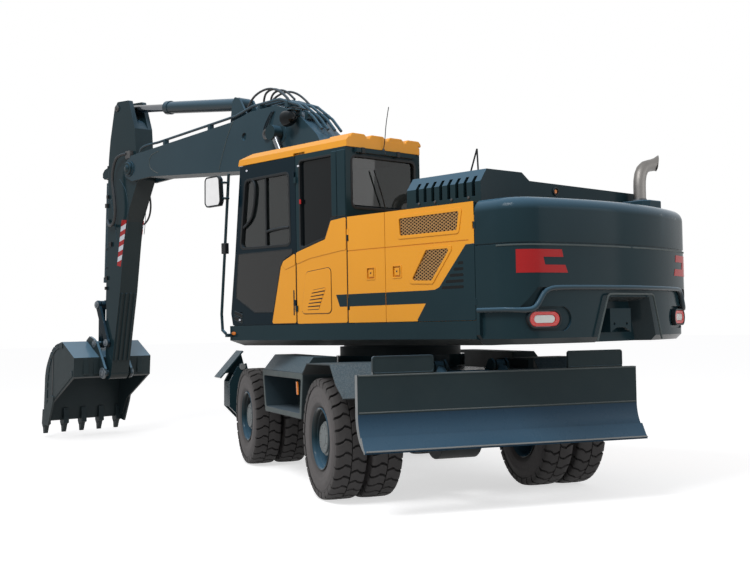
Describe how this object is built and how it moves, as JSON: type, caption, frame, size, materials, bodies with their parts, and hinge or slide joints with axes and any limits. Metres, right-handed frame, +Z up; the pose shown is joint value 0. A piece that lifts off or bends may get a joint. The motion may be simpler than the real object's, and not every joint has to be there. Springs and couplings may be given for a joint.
{
  "type": "wheeled excavator",
  "caption": "Wheeled excavator with swinging upper machine, one-piece boom, arm and bucket, dozer blade, stabilisers and twin tyres.",
  "frame": {"origin": "bottom centre of the overall box, on the ground the tyres stand on", "axes": "+Y along the boom from cab to bucket, +X to the operator's right, +Z up; the chassis stands turned 24 degrees clockwise under the upper machine"},
  "size_m": [4.5742, 9.6007, 4.6194],
  "materials": {
    "yellow_paint": "satin",
    "slate_paint": "satin",
    "black_paint": "satin",
    "axle_paint": "matt, dusty",
    "tyre": "matt, dusty",
    "glass": "tinted",
    "chrome": "hard chrome rod",
    "fabric": "woven",
    "plastic": "moulded",
    "iron": "rough",
    "pipe_steel": "dull steel",
    "lamp_red": "lens"
  },
  "bodies": {
    "chassis": {"chassis_frame": "slate_paint", "slew_ring": "axle_paint", "front_axle": "axle_paint", "rear_axle": "axle_paint", "side_steps": "slate_paint", "rear_mudguards": "slate_paint"},
    "steer_left": {"knuckle_left": "axle_paint"},
    "steer_right": {"knuckle_right": "axle_paint"},
    "wheels_front_left": {"tyres_front_left": "tyre", "rims_front_left": "slate_paint"},
    "wheels_front_right": {"tyres_front_right": "tyre", "rims_front_right": "slate_paint"},
    "wheels_rear_left": {"tyres_rear_left": "tyre", "rims_rear_left": "slate_paint"},
    "wheels_rear_right": {"tyres_rear_right": "tyre", "rims_rear_right": "slate_paint"},
    "blade": {"dozer_blade": "slate_paint"},
    "blade_barrels": {"blade_barrels": "slate_paint"},
    "blade_rods": {"blade_rods": "chrome"},
    "stabiliser_left": {"stabiliser_left": "slate_paint"},
    "stab_barrel_left": {"stab_barrel_left": "slate_paint"},
    "stab_rod_left": {"stab_rod_left": "chrome"},
    "stabiliser_right": {"stabiliser_right": "slate_paint"},
    "stab_barrel_right": {"stab_barrel_right": "slate_paint"},
    "stab_rod_right": {"stab_rod_right": "chrome"},
    "upper": {"upper_deck": "slate_paint", "counterweight": "slate_paint", "cab_shell": "slate_paint", "cab_roof": "yellow_paint", "cab_glass": "glass", "seat_base": "plastic", "seat_cushions": "fabric", "cab_controls": "plastic", "left_housing": "yellow_paint", "right_housing": "yellow_paint", "engine_block": "iron", "exhaust": "pipe_steel", "handrails": "black_paint", "lamps": "lamp_red"},
    "cab_door": {"cab_door": "slate_paint", "door_glass": "glass"},
    "side_door_front": {"side_door_front": "yellow_paint"},
    "side_door_rear": {"side_door_rear": "yellow_paint"},
    "side_door_right": {"side_door_right": "yellow_paint"},
    "engine_hood": {"engine_hood": "slate_paint"},
    "boom": {"boom": "slate_paint", "boom_pipes": "slate_paint"},
    "boom_barrels": {"boom_barrels": "slate_paint"},
    "boom_rods": {"boom_rods": "chrome"},
    "arm": {"arm": "slate_paint"},
    "arm_barrel": {"arm_barrel": "slate_paint"},
    "arm_rod": {"arm_rod": "chrome"},
    "bucket": {"bucket": "slate_paint"},
    "bucket_barrel": {"bucket_barrel": "slate_paint"},
    "bucket_rod": {"bucket_rod": "chrome"},
    "rocker_links": {"rocker_links": "axle_paint"},
    "power_link": {"power_link": "axle_paint"}
  },
  "joints": [
    {"name": "steer_left", "type": "hinge", "parent": "chassis", "child": "steer_left", "pos_m": [-0.2097, -0.2505, 0.525], "axis": [0, 0, 1], "range_deg": [-30, 30]},
    {"name": "steer_right", "type": "hinge", "parent": "chassis", "child": "steer_right", "pos_m": [1.21543, -0.88501, 0.525], "axis": [0, 0, 1], "range_deg": [-30.5, 30.5]},
    {"name": "wheel_spin_front_left", "type": "hinge", "parent": "steer_left", "child": "wheels_front_left", "pos_m": [-0.37962, -0.17485, 0.525], "axis": [0.9135, -0.4067, 0], "continuous": true},
    {"name": "wheel_spin_front_right", "type": "hinge", "parent": "steer_right", "child": "wheels_front_right", "pos_m": [1.38535, -0.96066, 0.525], "axis": [0.9135, -0.4067, 0], "continuous": true},
    {"name": "wheel_spin_rear_left", "type": "hinge", "parent": "chassis", "child": "wheels_rear_left", "pos_m": [-1.53922, -2.77937, 0.525], "axis": [0.9135, -0.4067, 0], "continuous": true},
    {"name": "wheel_spin_rear_right", "type": "hinge", "parent": "chassis", "child": "wheels_rear_right", "pos_m": [0.22575, -3.56518, 0.525], "axis": [0.9135, -0.4067, 0], "continuous": true},
    {"name": "blade_lift", "type": "hinge", "parent": "chassis", "child": "blade", "pos_m": [-0.74744, -3.376, 0.66], "axis": [0.9135, -0.4067, 0], "range_deg": [0, 41]},
    {"name": "blade_barrel_tilt", "type": "hinge", "parent": "chassis", "child": "blade_barrels", "pos_m": [-0.80845, -3.51303, 1.13], "axis": [0.9135, -0.4067, 0], "range_deg": [-1, 29.6]},
    {"name": "blade_cylinders", "type": "slide", "parent": "blade_barrels", "child": "blade_rods", "axis": [-0.3375, -0.758, -0.5582], "range_m": [-0.002, 0.3014]},
    {"name": "stabiliser_swing_left", "type": "hinge", "parent": "chassis", "child": "stabiliser_left", "pos_m": [0.05851, 0.91738, 0.47], "axis": [-0.4067, -0.9135, 0], "range_deg": [0, 125]},
    {"name": "stab_barrel_tilt_left", "type": "hinge", "parent": "chassis", "child": "stab_barrel_left", "pos_m": [0.55182, 0.69774, 0.76], "axis": [-0.4067, -0.9135, 0], "range_deg": [-1, 39.89]},
    {"name": "stab_cylinder_left", "type": "slide", "parent": "stab_barrel_left", "child": "stab_rod_left", "axis": [-0.9116, 0.4059, 0.0649], "range_m": [-0.002, 0.3244]},
    {"name": "stabiliser_swing_right", "type": "hinge", "parent": "chassis", "child": "stabiliser_right", "pos_m": [1.90387, 0.09577, 0.47], "axis": [0.4067, 0.9135, 0], "range_deg": [0, 125]},
    {"name": "stab_barrel_tilt_right", "type": "hinge", "parent": "chassis", "child": "stab_barrel_right", "pos_m": [1.41056, 0.31541, 0.76], "axis": [0.4067, 0.9135, 0], "range_deg": [-1, 39.89]},
    {"name": "stab_cylinder_right", "type": "slide", "parent": "stab_barrel_right", "child": "stab_rod_right", "axis": [0.9116, -0.4059, 0.0649], "range_m": [-0.002, 0.3244]},
    {"name": "swing", "type": "hinge", "parent": "chassis", "child": "upper", "pos_m": [-0.117, -1.96, 1.29], "axis": [0, 0, 1], "continuous": true},
    {"name": "cab_door", "type": "hinge", "parent": "upper", "child": "cab_door", "pos_m": [-1.372, -1.84, 1.6], "axis": [0, 0, 1], "range_deg": [0, 160]},
    {"name": "side_door_front", "type": "hinge", "parent": "upper", "child": "side_door_front", "pos_m": [-1.357, -2.569, 1.6], "axis": [0, 0, 1], "range_deg": [-110, 0]},
    {"name": "side_door_rear", "type": "hinge", "parent": "upper", "child": "side_door_rear", "pos_m": [-1.357, -4.094, 1.6], "axis": [0, 0, 1], "range_deg": [0, 110]},
    {"name": "side_door_right", "type": "hinge", "parent": "upper", "child": "side_door_right", "pos_m": [1.123, -3.056, 1.6], "axis": [0, 0, 1], "range_deg": [0, 110]},
    {"name": "engine_hood", "type": "hinge", "parent": "upper", "child": "engine_hood", "pos_m": [-0.117, -3.216, 2.494], "axis": [-1, 0, 0], "range_deg": [0, 58]},
    {"name": "boom_lift", "type": "hinge", "parent": "upper", "child": "boom", "pos_m": [-0.017, -1.81, 1.93], "axis": [1, 0, 0], "range_deg": [-42, 38]},
    {"name": "boom_barrel_tilt", "type": "hinge", "parent": "upper", "child": "boom_barrels", "pos_m": [-0.017, -1.32, 1.6], "axis": [1, 0, 0], "range_deg": [-43, 39]},
    {"name": "boom_cylinders", "type": "slide", "parent": "boom_barrels", "child": "boom_rods", "axis": [0, 0.4822, 0.8761], "range_m": [-0.4017, 0.3637]},
    {"name": "arm_swing", "type": "hinge", "parent": "boom", "child": "arm", "pos_m": [-0.017, 3.06, 3.656], "axis": [-1, 0, 0], "range_deg": [-55, 48]},
    {"name": "arm_barrel_tilt", "type": "hinge", "parent": "boom", "child": "arm_barrel", "pos_m": [-0.017, 0.756, 4.184], "axis": [-1, 0, 0], "range_deg": [-9, 8]},
    {"name": "arm_cylinder", "type": "slide", "parent": "arm_barrel", "child": "arm_rod", "axis": [0, 0.9916, 0.129], "range_m": [-0.7461, 0.6515]},
    {"name": "bucket_curl", "type": "hinge", "parent": "arm", "child": "bucket", "pos_m": [-0.017, 3.775, 0.912], "axis": [-1, 0, 0], "range_deg": [-3, 150]},
    {"name": "rocker_swing", "type": "hinge", "parent": "arm", "child": "rocker_links", "pos_m": [-0.017, 3.74, 1.326], "axis": [-1, 0, 0], "range_deg": [-3, 117]},
    {"name": "power_link_swing", "type": "hinge", "parent": "bucket", "child": "power_link", "pos_m": [-0.017, 3.99, 1.314], "axis": [-1, 0, 0], "range_deg": [-117, 3]},
    {"name": "bucket_barrel_tilt", "type": "hinge", "parent": "arm", "child": "bucket_barrel", "pos_m": [-0.017, 3.84, 3.66], "axis": [-1, 0, 0], "range_deg": [-6, 1]},
    {"name": "bucket_cylinder", "type": "slide", "parent": "bucket_barrel", "child": "bucket_rod", "axis": [0, 0.0718, -0.9974], "range_m": [-0.025, 1.02]}
  ],
  "couplings": [
    {"joint": "steer_right", "follows": "steer_left", "ratio": 1},
    {"joint": "blade_barrel_tilt", "follows": "blade_lift", "ratio": 0.69753},
    {"joint": "blade_cylinders", "follows": "blade_lift", "m_per_rad": 0.4184},
    {"joint": "stab_barrel_tilt_left", "follows": "stabiliser_swing_left", "ratio": 0.31115},
    {"joint": "stab_cylinder_left", "follows": "stabiliser_swing_left", "m_per_rad": 0.14777},
    {"joint": "stab_barrel_tilt_right", "follows": "stabiliser_swing_right", "ratio": 0.31115},
    {"joint": "stab_cylinder_right", "follows": "stabiliser_swing_right", "m_per_rad": 0.14777},
    {"joint": "boom_barrel_tilt", "follows": "boom_lift", "ratio": 1},
    {"joint": "boom_cylinders", "follows": "boom_lift", "m_per_rad": 0.54393},
    {"joint": "arm_barrel_tilt", "follows": "arm_swing", "ratio": 0.153},
    {"joint": "arm_cylinder", "follows": "arm_swing", "m_per_rad": 0.7741},
    {"joint": "rocker_swing", "follows": "bucket_curl", "ratio": 0.776},
    {"joint": "power_link_swing", "follows": "bucket_curl", "ratio": -0.77},
    {"joint": "bucket_barrel_tilt", "follows": "bucket_curl", "ratio": -0.035},
    {"joint": "bucket_cylinder", "follows": "bucket_curl", "m_per_rad": 0.388}
  ]
}
